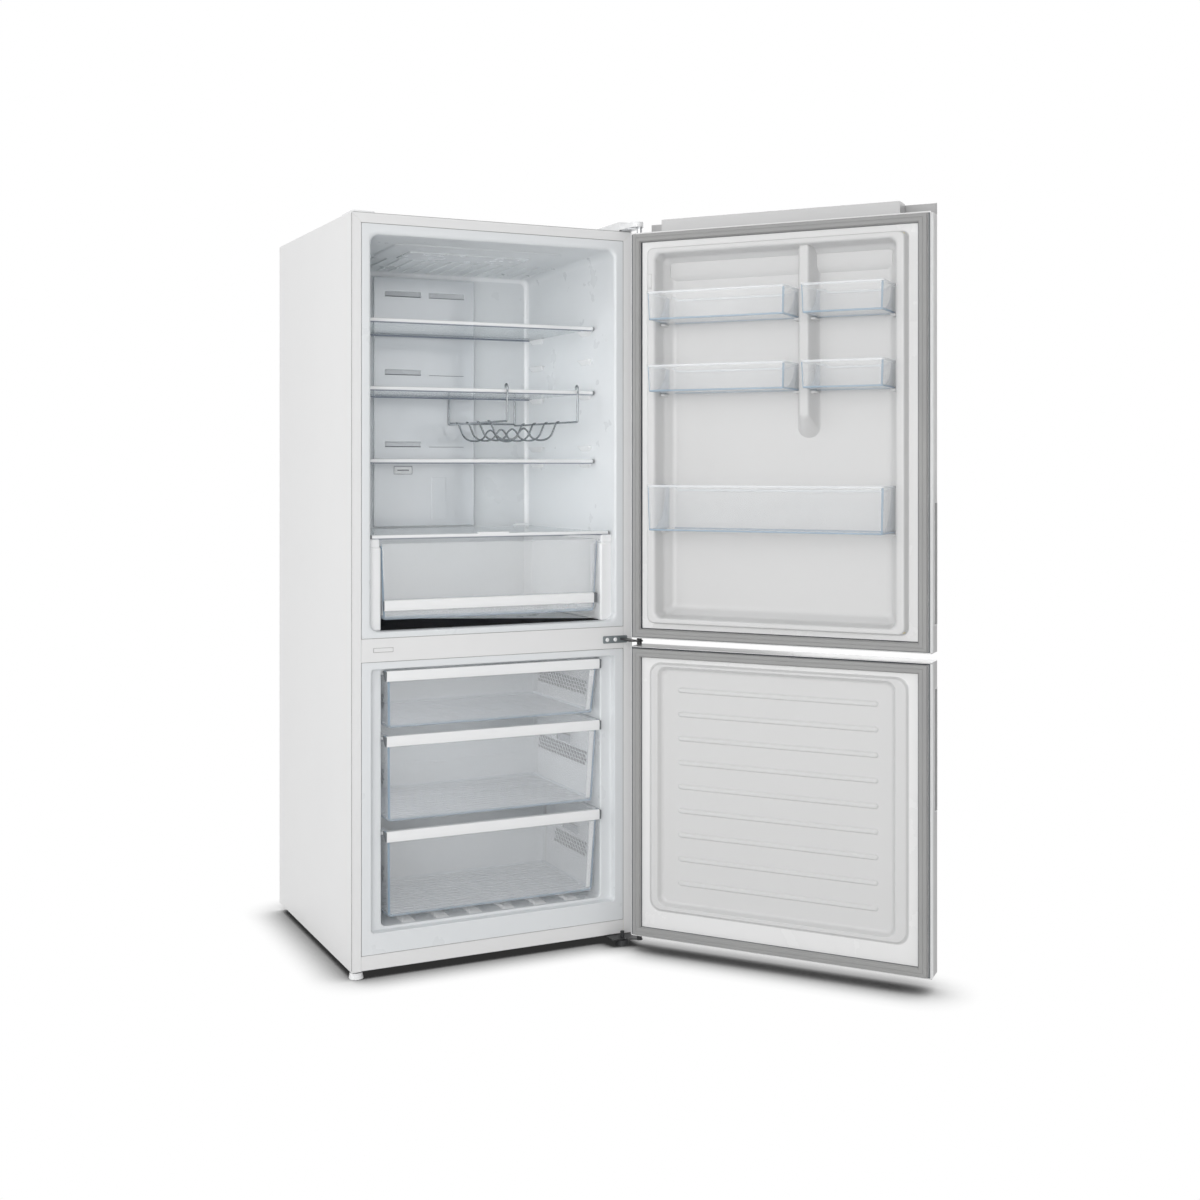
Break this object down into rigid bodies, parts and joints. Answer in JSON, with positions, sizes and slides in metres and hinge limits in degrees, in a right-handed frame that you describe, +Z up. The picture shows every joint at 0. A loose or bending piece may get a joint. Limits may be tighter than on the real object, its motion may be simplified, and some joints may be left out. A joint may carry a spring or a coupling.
{
  "type": "bottom freezer refrigerator",
  "caption": "Free-standing white fridge with a freezer below, doors open on right-hand hinges; glass shelves, wire bottle rack, clear drawers and door bins.",
  "frame": {"origin": "middle of the whole part's bounding box on the floor, with both doors open as in the picture", "axes": "+Z up, +Y to the back of the cabinet, +X to its right-hand side as seen from the front, where the hinges are"},
  "size_m": [1.2226, 1.3094, 1.842],
  "materials": {
    "white_steel": "gloss",
    "cabinet_liner": "satin",
    "door_liner": "satin",
    "duct_plastic": "gloss",
    "white_trim": "gloss",
    "shelf_trim": "gloss",
    "clear_plastic": "gloss",
    "lamp_lens": "satin",
    "clear_glass": "gloss",
    "gasket_rubber": "matte",
    "zinc_steel": "satin",
    "rack_wire": "polished",
    "black_steel": "satin",
    "black_plastic": "matte",
    "fin_aluminium": "satin",
    "foam": "matte"
  },
  "bodies": {
    "cabinet": {"side_panel_left": "white_steel", "side_panel_right": "white_steel", "top_panel": "white_steel", "back_panel": "white_steel", "base_pan": "zinc_steel", "kick_strip": "white_steel", "mullion_strip": "white_steel", "fridge_liner": "cabinet_liner", "freezer_liner": "cabinet_liner", "cabinet_foam": "foam", "duct_cover": "duct_plastic", "lamp_cover": "lamp_lens", "evaporator_cover": "cabinet_liner", "evaporator": "fin_aluminium", "compressor": "black_steel", "machine_cover": "black_plastic", "corner_cap": "white_trim", "top_hinge": "zinc_steel", "hinge_cover": "white_trim", "middle_hinge": "zinc_steel", "bottom_hinge": "black_steel"},
    "fan": {"evaporator_fan": "black_plastic"},
    "left_foot": {"foot_left": "white_trim"},
    "right_foot": {"foot_right": "black_plastic"},
    "left_roller": {"roller_left": "black_plastic"},
    "right_roller": {"roller_right": "black_plastic"},
    "shelf_1": {"shelf_1_glass": "clear_glass", "shelf_1_trim": "shelf_trim"},
    "shelf_2": {"shelf_2_glass": "clear_glass", "shelf_2_trim": "shelf_trim", "bottle_rack": "rack_wire"},
    "shelf_3": {"shelf_3_glass": "clear_glass", "shelf_3_trim": "shelf_trim"},
    "crisper_cover": {"crisper_cover_glass": "clear_glass", "crisper_cover_trim": "shelf_trim"},
    "crisper": {"crisper_tub": "clear_plastic", "crisper_band": "white_trim"},
    "freezer_drawer_1": {"freezer_drawer_1_tub": "clear_plastic", "freezer_drawer_1_band": "white_trim"},
    "freezer_drawer_2": {"freezer_drawer_2_tub": "clear_plastic", "freezer_drawer_2_band": "white_trim"},
    "freezer_drawer_3": {"freezer_drawer_3_tub": "clear_plastic", "freezer_drawer_3_band": "white_trim"},
    "fridge_door": {"fridge_door_skin": "white_steel", "fridge_door_liner": "door_liner", "fridge_door_gasket": "gasket_rubber", "fridge_door_top_cap": "white_trim", "fridge_door_bottom_cap": "white_trim", "fridge_door_foam": "foam"},
    "freezer_door": {"freezer_door_skin": "white_steel", "freezer_door_liner": "door_liner", "freezer_door_gasket": "gasket_rubber", "freezer_door_top_cap": "white_trim", "freezer_door_bottom_cap": "white_trim", "freezer_door_foam": "foam"},
    "bin_top_wide_body": {"bin_top_wide": "clear_plastic"},
    "bin_top_narrow_body": {"bin_top_narrow": "clear_plastic"},
    "bin_middle_wide_body": {"bin_middle_wide": "clear_plastic"},
    "bin_middle_narrow_body": {"bin_middle_narrow": "clear_plastic"},
    "bin_bottle_body": {"bin_bottle": "clear_plastic"}
  },
  "joints": [
    {"name": "fridge_door_hinge", "type": "hinge", "parent": "cabinet", "child": "fridge_door", "pos_m": [0.1322, -0.0464, 0.785], "axis": [0, 0, 1], "range_deg": [-128.4, 6.6]},
    {"name": "freezer_door_hinge", "type": "hinge", "parent": "cabinet", "child": "freezer_door", "pos_m": [0.1322, -0.0464, 0.0388], "axis": [0, 0, 1], "range_deg": [-128.4, 6.6]},
    {"name": "shelf_1_slide", "type": "slide", "parent": "cabinet", "child": "shelf_1", "axis": [0, -1, 0], "range_m": [0, 0.25]},
    {"name": "shelf_2_slide", "type": "slide", "parent": "cabinet", "child": "shelf_2", "axis": [0, -1, 0], "range_m": [0, 0.25]},
    {"name": "shelf_3_slide", "type": "slide", "parent": "cabinet", "child": "shelf_3", "axis": [0, -1, 0], "range_m": [0, 0.25]},
    {"name": "crisper_cover_slide", "type": "slide", "parent": "cabinet", "child": "crisper_cover", "axis": [0, -1, 0], "range_m": [0, 0.25]},
    {"name": "crisper_slide", "type": "slide", "parent": "cabinet", "child": "crisper", "axis": [0, -1, 0], "range_m": [0, 0.35]},
    {"name": "freezer_drawer_1_slide", "type": "slide", "parent": "cabinet", "child": "freezer_drawer_1", "axis": [0, -1, 0], "range_m": [0, 0.33]},
    {"name": "freezer_drawer_2_slide", "type": "slide", "parent": "cabinet", "child": "freezer_drawer_2", "axis": [0, -1, 0], "range_m": [0, 0.33]},
    {"name": "freezer_drawer_3_slide", "type": "slide", "parent": "cabinet", "child": "freezer_drawer_3", "axis": [0, -1, 0], "range_m": [0, 0.27]},
    {"name": "bin_top_wide_lift", "type": "slide", "parent": "fridge_door", "child": "bin_top_wide_body", "axis": [0, 0, 1], "range_m": [0, 0.04]},
    {"name": "bin_top_narrow_lift", "type": "slide", "parent": "fridge_door", "child": "bin_top_narrow_body", "axis": [0, 0, 1], "range_m": [0, 0.04]},
    {"name": "bin_middle_wide_lift", "type": "slide", "parent": "fridge_door", "child": "bin_middle_wide_body", "axis": [0, 0, 1], "range_m": [0, 0.04]},
    {"name": "bin_middle_narrow_lift", "type": "slide", "parent": "fridge_door", "child": "bin_middle_narrow_body", "axis": [0, 0, 1], "range_m": [0, 0.04]},
    {"name": "bin_bottle_lift", "type": "slide", "parent": "fridge_door", "child": "bin_bottle_body", "axis": [0, 0, 1], "range_m": [0, 0.04]},
    {"name": "left_roller_spin", "type": "hinge", "parent": "cabinet", "child": "left_roller", "pos_m": [-0.5883, 0.6068, 0.018], "axis": [1, 0, 0], "continuous": true},
    {"name": "right_roller_spin", "type": "hinge", "parent": "cabinet", "child": "right_roller", "pos_m": [0.1157, 0.6068, 0.018], "axis": [1, 0, 0], "continuous": true},
    {"name": "left_foot_screw", "type": "hinge", "parent": "cabinet", "child": "left_foot", "pos_m": [-0.5923, 0.0308, 0.01], "axis": [0, 0, 1], "continuous": true},
    {"name": "right_foot_screw", "type": "hinge", "parent": "cabinet", "child": "right_foot", "pos_m": [0.0997, -0.0152, 0.01], "axis": [0, 0, 1], "continuous": true},
    {"name": "fan_spin", "type": "hinge", "parent": "cabinet", "child": "fan", "pos_m": [-0.2363, 0.4288, 0.655], "axis": [0, 1, 0], "continuous": true}
  ]
}
